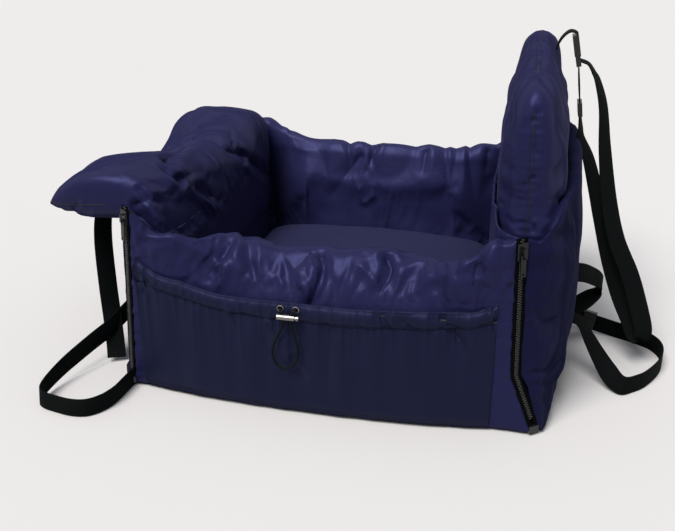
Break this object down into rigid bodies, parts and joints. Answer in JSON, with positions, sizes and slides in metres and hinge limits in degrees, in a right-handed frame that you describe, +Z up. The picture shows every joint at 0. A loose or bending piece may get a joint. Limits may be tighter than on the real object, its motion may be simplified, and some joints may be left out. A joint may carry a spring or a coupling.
{
  "type": "dog car seat",
  "caption": "Padded fabric dog car seat: a tub with corner zips, a standing backrest pillow, a pillow folded outwards, a drawstring pocket, a loose cushion and webbing straps with a buckle.",
  "frame": {"origin": "middle of the tub's underside, on the floor", "axes": "+X along the tub's length towards the standing backrest pillow, -Y towards the pocket side, +Z up"},
  "size_m": [0.8144, 0.569, 0.4318],
  "materials": {
    "satin_nylon": "shiny navy satin-weave nylon, quilted over fibre fill",
    "satin_nylon_flat": "navy satin-weave nylon laid flat, a little greyer",
    "board": "grey stiffening board",
    "webbing": "black ribbed polyester webbing",
    "zip_black": "black moulded zip teeth on black tape",
    "zip_metal": "black enamelled zip metal",
    "gunmetal": "polished gunmetal plating",
    "elastic_cord": "greenish black braided elastic cord",
    "buckle_plastic": "black moulded acetal"
  },
  "bodies": {
    "tub": {"front_wall": "satin_nylon", "rear_wall": "satin_nylon", "left_sleeve_outer": "satin_nylon", "right_sleeve_outer": "satin_nylon", "left_sleeve_inner": "satin_nylon", "right_sleeve_inner": "satin_nylon", "left_pillow_foot": "satin_nylon", "base_panel": "satin_nylon_flat", "pocket_panel": "satin_nylon_flat", "pocket_hem": "satin_nylon_flat", "base_board": "board", "pocket_eyelet_left": "gunmetal", "pocket_eyelet_right": "gunmetal", "cord_lock_body": "gunmetal", "cord_lock_spring": "gunmetal", "hem_cord_left": "elastic_cord", "hem_cord_right": "elastic_cord", "drawcord_loop": "elastic_cord", "zip_front_left_wall_tape": "zip_black", "zip_front_left_end_tape": "zip_black", "zip_front_left_box": "zip_black", "zip_rear_left_wall_tape": "zip_black", "zip_rear_left_end_tape": "zip_black", "zip_rear_left_box": "zip_black", "zip_front_right_wall_tape": "zip_black", "zip_front_right_end_tape": "zip_black", "zip_front_right_box": "zip_black", "zip_rear_right_wall_tape": "zip_black", "zip_rear_right_end_tape": "zip_black", "zip_rear_right_box": "zip_black", "left_base_strap": "webbing", "right_base_strap": "webbing", "right_sling_strap": "webbing"},
    "cushion": {"seat_cushion": "satin_nylon_flat"},
    "flap": {"folding_flap": "satin_nylon"},
    "flap_strap": {"left_hanging_strap": "webbing"},
    "backrest": {"backrest_pillow": "satin_nylon", "headrest_tab": "webbing", "headrest_buckle_socket": "buckle_plastic"},
    "headrest_lead": {"headrest_buckle_clip": "buckle_plastic", "headrest_strap": "webbing"},
    "headrest_slide": {"headrest_adjuster": "buckle_plastic"},
    "base_slide": {"right_base_adjuster": "buckle_plastic"},
    "lock_button": {"cord_lock_button": "gunmetal"},
    "slider_front_left": {"zip_front_left_slider": "zip_metal"},
    "pull_front_left": {"zip_front_left_pull": "zip_metal"},
    "slider_rear_left": {"zip_rear_left_slider": "zip_metal"},
    "pull_rear_left": {"zip_rear_left_pull": "zip_metal"},
    "slider_front_right": {"zip_front_right_slider": "zip_metal"},
    "pull_front_right": {"zip_front_right_pull": "zip_metal"},
    "slider_rear_right": {"zip_rear_right_slider": "zip_metal"},
    "pull_rear_right": {"zip_rear_right_pull": "zip_metal"}
  },
  "joints": [
    {"name": "cushion_lift", "type": "slide", "parent": "tub", "child": "cushion", "axis": [0, 0, 1], "range_m": [0, 0.2]},
    {"name": "flap_fold", "type": "hinge", "parent": "tub", "child": "flap", "pos_m": [-0.232, 0, 0.258], "axis": [0, 1, 0], "range_deg": [0, 90]},
    {"name": "flap_strap_swing", "type": "hinge", "parent": "flap", "child": "flap_strap", "pos_m": [-0.3072, -0.1419, 0.21375], "axis": [0, 1, 0], "range_deg": [-80, 5]},
    {"name": "backrest_lift", "type": "slide", "parent": "tub", "child": "backrest", "axis": [0, 0, 1], "range_m": [0, 0.2]},
    {"name": "buckle_release", "type": "slide", "parent": "backrest", "child": "headrest_lead", "axis": [0.2079, 0, -0.9781], "range_m": [0, 0.018]},
    {"name": "headrest_adjust", "type": "slide", "parent": "headrest_lead", "child": "headrest_slide", "axis": [0.1351, 0, -0.9908], "range_m": [-0.012, 0.008]},
    {"name": "base_adjust", "type": "slide", "parent": "tub", "child": "base_slide", "axis": [-0.9649, 0.2078, 0.1608], "range_m": [-0.01, 0.01]},
    {"name": "cord_lock_press", "type": "slide", "parent": "tub", "child": "lock_button", "axis": [-1, 0, 0], "range_m": [0, 0.0015], "stiffness_N_per_m": 900, "springref_m": -0.001, "deforming": ["cord_lock_spring"]},
    {"name": "zip_front_left_run", "type": "slide", "parent": "tub", "child": "slider_front_left", "axis": [-0.0599, 0, -0.9982], "range_m": [0, 0.19]},
    {"name": "zip_front_left_pull_swing", "type": "hinge", "parent": "slider_front_left", "child": "pull_front_left", "pos_m": [-0.23846, -0.23844, 0.23255], "axis": [-0.8172, 0.5743, 0.049], "range_deg": [0, 120]},
    {"name": "zip_rear_left_run", "type": "slide", "parent": "tub", "child": "slider_rear_left", "axis": [-0.0599, 0, -0.9982], "range_m": [0, 0.19]},
    {"name": "zip_rear_left_pull_swing", "type": "hinge", "parent": "slider_rear_left", "child": "pull_rear_left", "pos_m": [-0.23846, 0.23844, 0.23255], "axis": [0.8172, 0.5743, -0.049], "range_deg": [0, 120]},
    {"name": "zip_front_right_run", "type": "slide", "parent": "tub", "child": "slider_front_right", "axis": [0.0409, 0, -0.9992], "range_m": [0, 0.115]},
    {"name": "zip_front_right_pull_swing", "type": "hinge", "parent": "slider_front_right", "child": "pull_front_right", "pos_m": [0.23813, -0.23844, 0.2325], "axis": [-0.8182, -0.5739, -0.0335], "range_deg": [0, 120]},
    {"name": "zip_rear_right_run", "type": "slide", "parent": "tub", "child": "slider_rear_right", "axis": [0.0599, 0, -0.9982], "range_m": [0, 0.19]},
    {"name": "zip_rear_right_pull_swing", "type": "hinge", "parent": "slider_rear_right", "child": "pull_rear_right", "pos_m": [0.23846, 0.23844, 0.23255], "axis": [0.8172, -0.5743, 0.049], "range_deg": [0, 120]}
  ],
  "couplings": [
    {"joint": "flap_strap_swing", "follows": "flap_fold", "ratio": -0.72}
  ]
}
